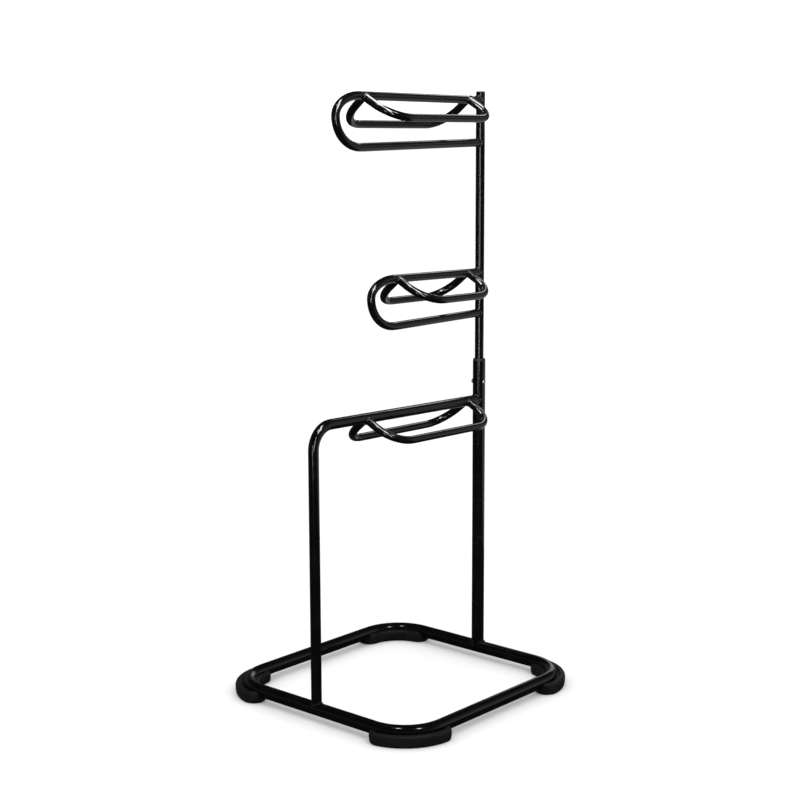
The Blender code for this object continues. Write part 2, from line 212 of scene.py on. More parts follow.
BASE_TUBE = half_size("base_ring").z
BASE_Z = middle_of("base_ring").z
BASE_HALF_WIDTH = half_size("base_ring").x - BASE_TUBE
BASE_HALF_DEPTH = half_size("base_ring").y - BASE_TUBE
LOWER_MAST_TUBE = half_size("lower_mast").x
UPPER_MAST_TUBE = half_size("upper_mast").x
ARM_TUBE = half_size("top_arm").x
POST_TUBE = half_size("lower_arm_and_post").x
MAST_Y = middle_of("upper_mast").y
LOWER_MAST_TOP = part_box("lower_mast")[1].z
UPPER_MAST_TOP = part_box("upper_mast")[1].z


def corner_centre(side_x, side_y, height):
    """Centre of a bend of the base ring, at a height."""
    x = side_x * (BASE_HALF_WIDTH - BASE_CORNER)
    y = side_y * (BASE_HALF_DEPTH - BASE_CORNER)
    return Vector((x, y, height))


def base_path():
    """Axis of the base ring."""
    points = []
    across = Vector((BASE_CORNER, 0, 0))
    along = Vector((0, BASE_CORNER, 0))
    for side_x, side_y in CORNERS.values():
        start = math.degrees(math.atan2(side_y, side_x)) - 45
        points += arc(corner_centre(side_x, side_y, BASE_Z), across, along, start, start + 90)
    return points


def ridge_heights():
    """Height of each tier's ridge axis at the mast."""
    heights = {tier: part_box(tier + "_arm")[0].z + ARM_TUBE + ARM_DEPTH for tier in ("top", "middle")}
    low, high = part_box("lower_arm_and_post")
    bend_y = low.y + POST_TUBE + POST_BEND
    heights["lower"] = high.z - POST_TUBE - RIDGE_RISE * (MAST_Y - bend_y)
    return heights


RIDGE_Z = ridge_heights()


def ridge_point(tier, y):
    """Point on a tier's ridge axis."""
    return Vector((0, y, RIDGE_Z[tier] + RIDGE_RISE * (MAST_Y - y)))


def hairpin_path(tier):
    """Axis of the top or the middle arm: ridge, front bend and lower run."""
    front_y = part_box(tier + "_arm")[0].y + ARM_TUBE
    low_z = RIDGE_Z[tier] - ARM_DEPTH
    turn_z = low_z + LOWER_BEND_HEIGHT
    ridge_end = ridge_point(tier, front_y + UPPER_BEND_LENGTH)
    upper_centre = Vector((0, ridge_end.y, turn_z))
    lower_centre = Vector((0, front_y + LOWER_BEND_LENGTH, turn_z))
    upper = arc(upper_centre, FORWARD * UPPER_BEND_LENGTH, UP * (ridge_end.z - turn_z), 90, 0)
    lower = arc(lower_centre, FORWARD * LOWER_BEND_LENGTH, UP * LOWER_BEND_HEIGHT, 0, -90)
    return [ridge_point(tier, MAST_Y)] + upper + lower[1:] + [Vector((0, MAST_Y, low_z))]


def post_path():
    """Axis of the lowest arm and the front post, down to the base ring's axis."""
    bend_start = ridge_point("lower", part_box("lower_arm_and_post")[0].y + POST_TUBE + POST_BEND)
    centre = bend_start - UP * POST_BEND
    bend = arc(centre, FORWARD * POST_BEND, UP * POST_BEND, 90, 0)
    return [ridge_point("lower", MAST_Y)] + bend + [Vector((0, bend[-1].y, BASE_Z))]


def hoop_legs(tier, side):
    """Y of a hoop's front and rear legs."""
    low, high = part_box("%s_%s_hoop" % (tier, side))
    return low.y + HOOP_TUBE, high.y - HOOP_TUBE


def hoop_outward(side):
    """Direction in which a side's hoops reach away from their ridges."""
    fall = math.radians(HOOP_FALL[side])
    return Vector((SIDES[side] * math.cos(fall), 0, -math.sin(fall)))


def hoop_line(tier, side, y):
    """Point on the line through a hoop's roots, which climbs a little less than the ridge does."""
    front_y, rear_y = hoop_legs(tier, side)
    middle = ridge_point(tier, (front_y + rear_y) / 2)
    return Vector((0, y, middle.z + HOOP_RISE * (middle.y - y)))


def hoop_path(tier, side):
    """Axis of a hoop: rear leg, outer run and front leg."""
    out = hoop_outward(side)
    front_y, rear_y = hoop_legs(tier, side)
    straight = HOOP_DEPTH - HOOP_CORNER
    rear_centre = hoop_line(tier, side, rear_y - HOOP_CORNER) + out * straight
    front_centre = hoop_line(tier, side, front_y + HOOP_CORNER) + out * straight
    first = Vector((0, 1, -HOOP_RISE)) * HOOP_CORNER
    second = out * HOOP_CORNER
    rear = arc(rear_centre, first, second, 0, 90)
    front = arc(front_centre, first, second, 90, 180)
    return [hoop_line(tier, side, rear_y)] + rear + front + [hoop_line(tier, side, front_y)]


# Tubes

def spread(points, closed, step=0.004):
    """The same path with points about a step apart."""
    pairs = list(zip(points, points[1:] + points[:1])) if closed else list(zip(points, points[1:]))
    result = []
    for start, end in pairs:
        count = max(1, round((end - start).length / step))
        result += [start.lerp(end, index / count) for index in range(count)]
    return result if closed else result + [points[-1]]


def eased(points, closed, rounds=6):
    """The path with its bends run in and out gently, as a bending machine leaves them."""
    path = [point.copy() for point in points]
    last = len(path)
    for _ in range(rounds):
        moved = [point.copy() for point in path]
        for index in range(0 if closed else 1, last if closed else last - 1):
            before = path[index - 1]
            after = path[(index + 1) % last]
            moved[index] = path[index] * 0.5 + (before + after) * 0.25
        path = moved
    return path


def thinned(points, closed, turn=math.radians(1.1)):
    """The path without the points that a straight run does not need."""
    kept = [0]
    heading = (points[1] - points[0]).normalized()
    for index in range(1, len(points) - 1):
        ahead = (points[index + 1] - points[index]).normalized()
        if heading.angle(ahead) > turn:
            kept.append(index)
            heading = ahead
    if not closed:
        kept.append(len(points) - 1)
    return [points[index] for index in kept]


def tube(name, points, radius, plane_normal, closed=False):
    """Round tube along a path in a plane; bends flatten it a little."""
    path = thinned(eased(spread(points, closed), closed), closed)
    count = len(path)
    work = bmesh.new()
    rings = []
    for index, point in enumerate(path):
        before = path[index - 1] if closed or index else point
        after = path[(index + 1) % count] if closed or index < count - 1 else point
        tangent = (after - before).normalized()
        side = plane_normal.cross(tangent).normalized()
        reach = min((point - before).length, (after - point).length)
        bend = 0.0
        if reach > 0:
            turn = (point - before).angle(after - point)
            bend = min(1.0, turn / reach * radius * FULL_BEND)
        narrow = radius * (1 - FLATTENING * bend)
        wide = radius * (1 + FLATTENING * bend * WIDENING)
        ring = []
        for step in range(TUBE_SIDES):
            angle = 2 * math.pi * step / TUBE_SIDES
            offset = side * narrow * math.cos(angle) + plane_normal * wide * math.sin(angle)
            ring.append(work.verts.new(point + offset))
        rings.append(ring)
    bridge(work, rings, closed)
    return new_piece(name, work)


def bridge(work, rings, closed):
    """Quads between neighbouring rings, and caps on the ends of an open row."""
    following = rings[1:] + rings[:1] if closed else rings[1:]
    for ring, after in zip(rings, following):
        for index in range(len(ring)):
            index_after = (index + 1) % len(ring)
            work.faces.new((ring[index], ring[index_after], after[index_after], after[index]))
    if not closed:
        work.faces.new(rings[0])
        work.faces.new(rings[-1])


def turned(name, profile, sides=48, hollow=False):
    """Solid of revolution about Z from (radius, height) points.

    A solid one starts and ends on the axis; a hollow one is a closed outline clear of the axis.
    """
    work = bmesh.new()
    angles = [2 * math.pi * step / sides for step in range(sides)]
    rings = []
    for radius, height in profile if hollow else profile[1:-1]:
        rings.append([work.verts.new((radius * math.cos(a), radius * math.sin(a), height)) for a in angles])
    bridge(work, rings, hollow)
    return new_piece(name, work, sharp_angle=30)


# Welds

def seam(origin, branch, branch_radius, main, main_radius, count):
    """Points where a branch tube's wall meets a main tube's wall, with the outward direction of each."""
    side = branch.orthogonal().normalized()
    other = branch.cross(side)

    def across(vector):
        """The part of a vector that is square to the main tube."""
        return vector - main * vector.dot(main)

    points = []
    for step in range(count):
        angle = 2 * math.pi * step / count
        radial = side * math.cos(angle) + other * math.sin(angle)
        wall = radial * branch_radius
        a = across(branch).length_squared
        b = 2 * across(wall).dot(across(branch))
        c = across(wall).length_squared - main_radius ** 2
        reach = (-b + math.sqrt(max(0.0, b * b - 4 * a * c))) / (2 * a)
        point = wall + branch * reach
        outward = (across(point).normalized() + radial).normalized()
        points.append((origin + point, outward))
    return points


def weld(name, origin, branch, branch_radius, main, main_radius, size, material):
    """Rippled bead round the seam between two tubes."""
    around = 2 * math.pi * branch_radius * SEAM_STRETCH
    ripples = round(around / RIPPLE_LENGTH)
    count = ripples * RIPPLE_STEPS
    points = seam(origin, branch.normalized(), branch_radius, main.normalized(), main_radius, count)
    rng = random.Random(name)
    heights = [rng.uniform(*RIPPLE_HEIGHTS) for _ in range(ripples)]
    sway = rng.uniform(0, 2 * math.pi)
    work = bmesh.new()
    rings = []
    for index, (point, outward) in enumerate(points):
        tangent = (points[(index + 1) % count][0] - points[index - 1][0]).normalized()
        side = tangent.cross(outward).normalized()
        outward = side.cross(tangent).normalized()
        ripple, phase = divmod(index, RIPPLE_STEPS)
        growth = heights[(ripple + 1) % ripples] - heights[ripple]
        height = heights[ripple] + growth * phase / RIPPLE_STEPS
        crest = 1 + RIPPLE_DEPTH * math.cos(2 * math.pi * phase / RIPPLE_STEPS)
        wander = size * WANDER * math.sin(WANDER_WAVES * 2 * math.pi * index / count + sway)
        radius = size * height * crest
        ring = []
        for step in range(BEAD_SIDES):
            angle = 2 * math.pi * step / BEAD_SIDES
            offset = outward * radius * math.cos(angle) + side * (radius * math.sin(angle) + wander)
            ring.append(work.verts.new(point + offset))
        rings.append(ring)
    bridge(work, rings, True)
    finish_piece(new_piece(name, work, sharp_angle=80), material, "powder_coat")


def ring_welds(material):
    """Mast and post on the base ring."""
    mast_foot = Vector((0, BASE_HALF_DEPTH, BASE_Z))
    post_foot = Vector((0, -BASE_HALF_DEPTH, BASE_Z))
    weld("weld_mast_foot", mast_foot, UP, LOWER_MAST_TUBE, ACROSS, BASE_TUBE, MAST_BEAD_SIZE, material)
    weld("weld_post_foot", post_foot, UP, POST_TUBE, ACROSS, BASE_TUBE, BEAD_SIZE, material)


def arm_welds(material):
    """Ridges and lower runs on the mast."""
    for tier in ("top", "middle"):
        ridge = ridge_point(tier, MAST_Y)
        run = ridge - UP * ARM_DEPTH
        weld("weld_%s_ridge" % tier, ridge, ALONG_RIDGE, ARM_TUBE, UP, UPPER_MAST_TUBE, BEAD_SIZE, material)
        weld("weld_%s_run" % tier, run, FORWARD, ARM_TUBE, UP, UPPER_MAST_TUBE, BEAD_SIZE, material)
    ridge = ridge_point("lower", MAST_Y)
    weld("weld_lower_ridge", ridge, ALONG_RIDGE, POST_TUBE, UP, LOWER_MAST_TUBE, BEAD_SIZE, material)


def hoop_welds(material):
    """Both legs of each hoop on the flank of its ridge."""
    for tier in TIERS:
        ridge_tube = POST_TUBE if tier == "lower" else ARM_TUBE
        for side in SIDES:
            for place, y in zip(("front", "rear"), hoop_legs(tier, side)):
                name = "weld_%s_%s_hoop_%s" % (tier, side, place)
                origin = hoop_line(tier, side, y)
                out = hoop_outward(side)
                weld(name, origin, out, HOOP_SEAM, ALONG_RIDGE, ridge_tube, HOOP_BEAD_SIZE, material)


# Foot pads

# Section of a pad, up its side, over its rim and down into its gutter: how far out and in it reaches from
# the middle line of its band, and the height
PAD_PROFILE = (
    (0.0080, 0.0000), (0.0249, 0.0000), (0.0262, 0.0004), (0.0273, 0.0013), (0.0281, 0.0026),
    (0.0287, 0.0044), (0.0292, 0.0070), (0.0296, 0.0110), (0.0298, 0.0160), (0.0299, 0.0204),
    (0.0297, 0.0226), (0.0291, 0.0247), (0.0281, 0.0265), (0.0268, 0.0279), (0.0253, 0.0287),
    (0.0238, 0.0290), (0.0176, 0.0290), (0.0168, 0.0287), (0.0162, 0.0280), (0.0159, 0.0268),
    (0.0154, 0.0256), (0.0145, 0.0248), (0.0130, 0.0245), (0.0080, 0.0245),
)


def pad_outline(half_width, long_left):
    """Plan of a pad at one height: an arc band with round ends, about its bend's centre and +X."""
    right_end = -math.radians(PAD_SHORT_REACH if long_left else PAD_LONG_REACH)
    left_end = math.radians(PAD_LONG_REACH if long_left else PAD_SHORT_REACH)
    points = []
    for radius, start, end in ((PAD_RADIUS + half_width, right_end, left_end),
                               (PAD_RADIUS - half_width, left_end, right_end)):
        for step in range(PAD_SIDE_STEPS):
            angle = start + (end - start) * step / PAD_SIDE_STEPS
            points.append(Vector((radius * math.cos(angle), radius * math.sin(angle), 0)))
        tip = Vector((math.cos(end), math.sin(end), 0)) * PAD_RADIUS
        first = end if end > 0 else math.pi + end
        for step in range(PAD_END_STEPS):
            angle = first + math.pi * step / PAD_END_STEPS
            points.append(tip + Vector((math.cos(angle), math.sin(angle), 0)) * half_width)
    return points


def foot_pad(name, side_x, side_y, material):
    """Rubber shoe under a corner: flat sole, raised rim and a gutter between rim and tube."""
    work = bmesh.new()
    rings = []
    for half_width, height in PAD_PROFILE:
        outline = pad_outline(half_width, side_x != side_y)
        rings.append([work.verts.new((point.x, point.y, height)) for point in outline])
    bridge(work, rings, False)
    piece = new_piece(name + "_shoe", work, sharp_angle=50)
    heading = math.atan2(side_y, side_x)
    place = Matrix.Translation(corner_centre(side_x, side_y, 0)) @ Matrix.Rotation(heading, 4, "Z")
    piece.data.transform(place)
    for point in screw_points(side_x, side_y):
        cut_away(piece, screw_recess(point))
    finish_piece(piece, material, "pad_rubber", name)


def screw_points(side_x, side_y):
    """Floor points under a pad's two screws."""
    heading = math.atan2(side_y, side_x)
    points = []
    for turn in (-SCREW_TURN, SCREW_TURN):
        angle = heading + math.radians(turn)
        offset = Vector((math.cos(angle), math.sin(angle), 0)) * BASE_CORNER
        points.append(corner_centre(side_x, side_y, 0) + offset)
    return points


def screw_recess(point):
    """Cutter for the pocket that a screw's head sits in."""
    cutter = prism("screw_recess", 32, SCREW_RECESS_RADIUS, -SCREW_RECESS_DEPTH, SCREW_RECESS_DEPTH)
    cutter.data.transform(Matrix.Translation(point))
    return cutter


def combine(piece, other, operation):
    """Boolean of two pieces, kept in the first; the other one is removed."""
    boolean = piece.modifiers.new("combine", "BOOLEAN")
    boolean.operation = operation
    boolean.object = other
    bpy.context.view_layer.update()
    evaluated = piece.evaluated_get(bpy.context.evaluated_depsgraph_get())
    data = bpy.data.meshes.new_from_object(evaluated)
    piece.modifiers.remove(boolean)
    piece.data = data
    bpy.data.objects.remove(other)


def cut_away(piece, cutter):
    """Take the cutter's shape out of the piece."""
    combine(piece, cutter, "DIFFERENCE")


def keep_common(piece, other):
    """Keep what both share."""
    combine(piece, other, "INTERSECT")


# Materials

class Recipe:
    """Builds a Principled material from nodes that read the object's own coordinates."""

    def __init__(self, name):
        self.material = bpy.data.materials.new(name)
        self.material.use_nodes = True
        self.tree = self.material.node_tree
        self.shader = self.tree.nodes["Principled BSDF"]
        self.coordinates = self.node("ShaderNodeTexCoord").outputs["Object"]

    def node(self, kind):
        """New node in the material."""
        return self.tree.nodes.new(kind)

    def link(self, source, target):
        """Feed one socket from another."""
        self.tree.links.new(source, target)

    def noise(self, scale, detail=2.0, roughness=0.5, stretch=(1, 1, 1)):
        """Noise of about 0.3 to 0.7, with so many lumps to the metre."""
        mapping = self.node("ShaderNodeMapping")
        mapping.inputs["Scale"].default_value = stretch
        self.link(self.coordinates, mapping.inputs["Vector"])
        noise = self.node("ShaderNodeTexNoise")
        noise.inputs["Scale"].default_value = scale
        noise.inputs["Detail"].default_value = detail
        noise.inputs["Roughness"].default_value = roughness
        self.link(mapping.outputs["Vector"], noise.inputs["Vector"])
        return noise.outputs["Fac"]

    def remap(self, value, low, high, to_low=0.0, to_high=1.0):
        """Value from low to high, turned into to_low to to_high and held there."""
        ramp = self.node("ShaderNodeMapRange")
        for socket, number in zip(("From Min", "From Max", "To Min", "To Max"), (low, high, to_low, to_high)):
            ramp.inputs[socket].default_value = number
        self.link(value, ramp.inputs["Value"])
        return ramp.outputs["Result"]

    def maths(self, operation, first, second):
        """Sum, product or the like of two sockets, or of a socket and a number."""
        node = self.node("ShaderNodeMath")
        node.operation = operation
        for socket, value in zip(node.inputs, (first, second)):
            if isinstance(value, (int, float)):
                socket.default_value = value
            else:
                self.link(value, socket)
        return node.outputs["Value"]

    def blend(self, factor, first, second):
        """Colour between two colours."""
        mix = self.node("ShaderNodeMix")
        mix.data_type = "RGBA"
        self.link(factor, mix.inputs["Factor"])
        for socket, colour in zip((mix.inputs[6], mix.inputs[7]), (first, second)):
            if isinstance(colour, tuple):
                socket.default_value = (*colour, 1.0)
            else:
                self.link(colour, socket)
        return mix.outputs[2]

    def bump(self, height, depth, before=None):
        """Normal dented by a height over a depth in metres, on top of a normal from before."""
        node = self.node("ShaderNodeBump")
        node.inputs["Distance"].default_value = depth
        self.link(height, node.inputs["Height"])
        if before is not None:
            self.link(before, node.inputs["Normal"])
        return node.outputs["Normal"]

    def set(self, **values):
        """Values on the shader's own sockets; underscores stand for spaces."""
        for name, value in values.items():
            socket = self.shader.inputs[name.replace("_", " ")]
            if isinstance(value, (int, float)):
                socket.default_value = value
            elif isinstance(value, tuple):
                socket.default_value = (*value, 1.0)
            else:
                self.link(value, socket)


def powder_coat():
    """Gloss black powder coat: orange peel, faint cloudiness, dust and hairline rubs."""
    recipe = Recipe("gloss_black_powder_coat")
    clouds = recipe.noise(scale=14.0, detail=3.0)
    dust = recipe.noise(scale=320.0, detail=4.0, roughness=0.6)
    rubs = recipe.noise(scale=90.0, detail=3.0, roughness=0.7, stretch=(1, 0.05, 1))
    peel = recipe.noise(scale=520.0, detail=1.0)
    grain = recipe.noise(scale=2600.0, detail=1.0)
    specks = recipe.remap(dust, 0.62, 0.75)
    scuffs = recipe.remap(rubs, 0.62, 0.72)
    handled = recipe.remap(clouds, 0.4, 0.65)
    marks = recipe.maths("MULTIPLY", recipe.maths("MAXIMUM", specks, scuffs), handled)
    colour = recipe.blend(recipe.remap(clouds, 0.3, 0.7), *COAT_COLOURS)
    colour = recipe.blend(recipe.maths("MULTIPLY", marks, 0.35), colour, MARK_COLOUR)
    gloss = recipe.remap(clouds, 0.3, 0.7, 0.11, 0.17)
    rough = recipe.maths("ADD", gloss, recipe.maths("MULTIPLY", marks, 0.16))
    normal = recipe.bump(peel, depth=0.000006)
    normal = recipe.bump(grain, depth=0.000002, before=normal)
    recipe.set(Base_Color=colour, Roughness=rough, Normal=normal, IOR=1.5)
    recipe.set(Coat_Weight=0.35, Coat_Roughness=0.06)
    return recipe.material


def pad_rubber():
    """Satin moulded rubber with a fine grain, dusty in patches."""
    recipe = Recipe("moulded_black_rubber")
    grain = recipe.noise(scale=1500.0, detail=3.0, roughness=0.65)
    patches = recipe.noise(scale=45.0, detail=4.0, roughness=0.6)
    dust = recipe.remap(patches, 0.45, 0.7)
    colour = recipe.blend(dust, *RUBBER_COLOURS)
    satin = recipe.remap(grain, 0.3, 0.7, 0.42, 0.54)
    rough = recipe.maths("ADD", satin, recipe.maths("MULTIPLY", dust, 0.12))
    normal = recipe.bump(grain, depth=0.00006)
    normal = recipe.bump(patches, depth=0.0004, before=normal)
    recipe.set(Base_Color=colour, Roughness=rough, Normal=normal, IOR=1.5)
    return recipe.material


def black_plastic():
    """Satin moulded plastic with a fine spark texture."""
    recipe = Recipe("satin_black_plastic")
    grain = recipe.noise(scale=1900.0, roughness=0.6)
    patches = recipe.noise(scale=60.0)
    colour = recipe.blend(patches, *PLASTIC_COLOURS)
    rough = recipe.remap(grain, 0.3, 0.7, 0.34, 0.46)
    normal = recipe.bump(grain, depth=0.00005)
    recipe.set(Base_Color=colour, Roughness=rough, Normal=normal, IOR=1.46)
    return recipe.material


def zinc_plate():
    """Bright zinc plating, a little clouded."""
    recipe = Recipe("zinc_plated_steel")
    clouds = recipe.noise(scale=260.0, detail=4.0, roughness=0.6)
    fine = recipe.noise(scale=1800.0)
    colour = recipe.blend(clouds, *ZINC_COLOURS)
    rough = recipe.remap(clouds, 0.3, 0.7, 0.22, 0.42)
    normal = recipe.bump(fine, depth=0.00002)
    recipe.set(Base_Color=colour, Roughness=rough, Metallic=1.0, Normal=normal)
    return recipe.material


# Pieces

def steel_tubes(material):
    """Ring, both masts, arms and hoops."""
    ring = tube("ring_tube", base_path(), BASE_TUBE, UP, closed=True)
    finish_piece(ring, material, "powder_coat", "base_ring")
    ends = [Vector((0, BASE_HALF_DEPTH, BASE_Z)), Vector((0, MAST_Y, LOWER_MAST_TOP))]
    mast = tube("lower_mast_tube", ends, LOWER_MAST_TUBE, ACROSS)
    finish_piece(mast, material, "powder_coat", "lower_mast")
    ends = [Vector((0, MAST_Y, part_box("upper_mast")[0].z)), Vector((0, MAST_Y, UPPER_MAST_TOP))]
    mast = tube("upper_mast_tube", ends, UPPER_MAST_TUBE, ACROSS)
    finish_piece(mast, material, "powder_coat", "upper_mast")
    for tier in ("top", "middle"):
        arm = tube(tier + "_arm_tube", hairpin_path(tier), ARM_TUBE, ACROSS)
        finish_piece(arm, material, "powder_coat", tier + "_arm")
    post = tube("lower_arm_and_post_tube", post_path(), POST_TUBE, ACROSS)
    finish_piece(post, material, "powder_coat", "lower_arm_and_post")
    for tier in TIERS:
        for side in SIDES:
            plane_normal = hoop_outward(side).cross(Vector((0, 1, -HOOP_RISE))).normalized()
            name = "%s_%s_hoop" % (tier, side)
            hoop = tube(name + "_tube", hoop_path(tier, side), HOOP_TUBE, plane_normal)
            finish_piece(hoop, material, "powder_coat", name)


def set_down(piece, axis, place):
    """Turn a piece from the Z axis onto another one and move it to its place."""
    turn = UP.rotation_difference(axis).to_matrix().to_4x4()
    piece.data.transform(Matrix.Translation(place) @ turn)


def block(low, high):
    """Rectangular cutter between two corners."""
    work = bmesh.new()
    bmesh.ops.create_cube(work, size=1.0)
    bmesh.ops.scale(work, vec=high - low, verts=work.verts)
    bmesh.ops.translate(work, vec=(low + high) / 2, verts=work.verts)
    return new_piece("block", work)


def prism(name, sides, radius, low, high):
    """Upright prism with its corners on the radius."""
    work = bmesh.new()
    bmesh.ops.create_cone(work, cap_ends=True, segments=sides, radius1=radius, radius2=radius,
                          depth=high - low)
    bmesh.ops.translate(work, vec=(0, 0, (low + high) / 2), verts=work.verts)
    return new_piece(name, work)


def rounded(radius, height, edge, steps=5):
    """Quarter-round profile points from the top face out to the side."""
    points = []
    for step in range(steps + 1):
        angle = math.pi / 2 * (1 - step / steps)
        points.append((radius - edge + edge * math.cos(angle), height - edge + edge * math.sin(angle)))
    return points


def pad_screw(node, zinc):
    """Pan-head screw with a cross recess, seen from underneath."""
    low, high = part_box(node)
    centre = (low + high) / 2
    head = high.x - centre.x
    length = high.z - low.z
    seat = length - SCREW_HEAD_HEIGHT
    profile = [(0, length)] + rounded(head, length, head * SCREW_HEAD_ROUNDING)
    profile += [(head, seat), (SCREW_SHANK, seat), (SCREW_SHANK, SCREW_SHANK), (FINE, 0), (0, 0)]
    screw = turned(node + "_pan_head", profile, 32)
    for along in (Vector((CROSS_LENGTH, CROSS_WIDTH, 0)), Vector((CROSS_WIDTH, CROSS_LENGTH, 0))):
        floor = Vector((0, 0, length - CROSS_DEPTH))
        top = Vector((0, 0, length + CROSS_DEPTH))
        cut_away(screw, block(floor - along / 2, top + along / 2))
    set_down(screw, -UP, Vector((centre.x, centre.y, high.z)))
    finish_piece(screw, zinc, "zinc_plate", node)


def pads_and_screws(rubber, zinc):
    """A pad under each corner, with two screws up through it."""
    for name, (side_x, side_y) in CORNERS.items():
        foot_pad("foot_pad_" + name, side_x, side_y, rubber)
        for letter in "ab":
            pad_screw("pad_screw_%s_%s" % (name, letter), zinc)


def mast_cap(plastic):
    """Plug in the mast's top: low dome with a rounded rim."""
    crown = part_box("mast_cap")[1].z - FINE
    dome = [(UPPER_MAST_TUBE * out, crown + FINE * lift) for out, lift in CAP_DOME]
    rim = rounded(UPPER_MAST_TUBE, crown, CAP_EDGE)
    foot = [(UPPER_MAST_TUBE, UPPER_MAST_TOP + FINE), (UPPER_MAST_TUBE - FINE, UPPER_MAST_TOP)]
    cap = turned("mast_cap_plug", dome + rim + foot + [(0, UPPER_MAST_TOP)], 64)
    set_down(cap, UP, Vector((0, MAST_Y, 0)))
    finish_piece(cap, plastic, "black_plastic", "mast_cap")


def flanged_bush(plastic):
    """Collar that closes the step in the mast, with a rounded brim."""
    low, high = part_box("mast_flanged_bush")
    outer = (high.x - low.x) / 2
    bore = UPPER_MAST_TUBE + FINE / 2
    profile = [(bore, high.z - FINE), (UPPER_MAST_TUBE + FINE, high.z)] + rounded(outer, high.z, BRIM_EDGE)
    profile += [(outer, LOWER_MAST_TOP + FINE), (outer - FINE, LOWER_MAST_TOP), (bore, LOWER_MAST_TOP)]
    bush = turned("mast_flanged_bush_collar", profile, 64, hollow=True)
    set_down(bush, UP, Vector((0, MAST_Y, 0)))
    finish_piece(bush, plastic, "black_plastic", "mast_flanged_bush")


def lock_bolt(zinc):
    """Button-head bolt with a hexagon socket; its tip stands a thread's width out of the nut."""
    low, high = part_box("mast_lock_bolt")
    centre = (low + high) / 2
    head = (high.z - low.z) / 2
    seat = LOWER_MAST_TUBE
    crown = high.x
    tip = low.x
    profile = [(0, crown), (head * BOLT_FLAT, crown)]
    for step in range(BOLT_DOME_STEPS + 1):
        angle = math.radians(BOLT_DOME_START + BOLT_DOME_SWEEP * step / BOLT_DOME_STEPS)
        lift = math.cos(angle) ** BOLT_DOME_FULLNESS
        profile.append((head * math.sin(angle), seat + (crown - seat) * lift))
    profile += [(head, seat + FINE / 2), (head - FINE, seat), (BOLT_SHANK, seat)]
    profile += [(BOLT_SHANK, tip + FINE), (BOLT_SHANK - FINE, tip), (0, tip)]
    bolt = turned("mast_lock_bolt_button", profile, 48)
    cut_away(bolt, prism("socket", 6, BOLT_SOCKET, crown - BOLT_SOCKET_DEPTH, crown + BOLT_SOCKET_DEPTH))
    set_down(bolt, ACROSS, Vector((0, MAST_Y, centre.z)))
    finish_piece(bolt, zinc, "zinc_plate", "mast_lock_bolt")


def lock_nut(zinc):
    """Hexagon nut with chamfered faces."""
    low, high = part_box("mast_lock_nut")
    centre = (low + high) / 2
    length = high.x - low.x
    radius = max(high.y - low.y, high.z - low.z) / 2
    face = radius * math.cos(math.pi / 6) * NUT_FACE
    edge = radius + NUT_CHAMFER / 4
    profile = [(0, length), (face, length), (edge, length - NUT_CHAMFER)]
    profile += [(edge, NUT_CHAMFER), (face, 0), (0, 0)]
    nut = prism("mast_lock_nut_hexagon", 6, radius, 0, length)
    keep_common(nut, turned("chamfers", profile, 64))
    wide_in_y = high.y - low.y > high.z - low.z
    nut.data.transform(Matrix.Rotation(math.pi / 2 if wide_in_y else 0, 4, "Z"))
    set_down(nut, ACROSS, Vector((low.x, MAST_Y, centre.z)))
    finish_piece(nut, zinc, "zinc_plate", "mast_lock_nut")


def mast_fittings(plastic, zinc):
    """Cap, bushes, bolt and nut."""
    mast_cap(plastic)
    flanged_bush(plastic)
    lock_bolt(zinc)
    lock_nut(zinc)
    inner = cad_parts["mast_inner_bush"]
    inner.data.materials.clear()
    inner.data.materials.append(plastic)


# Studio

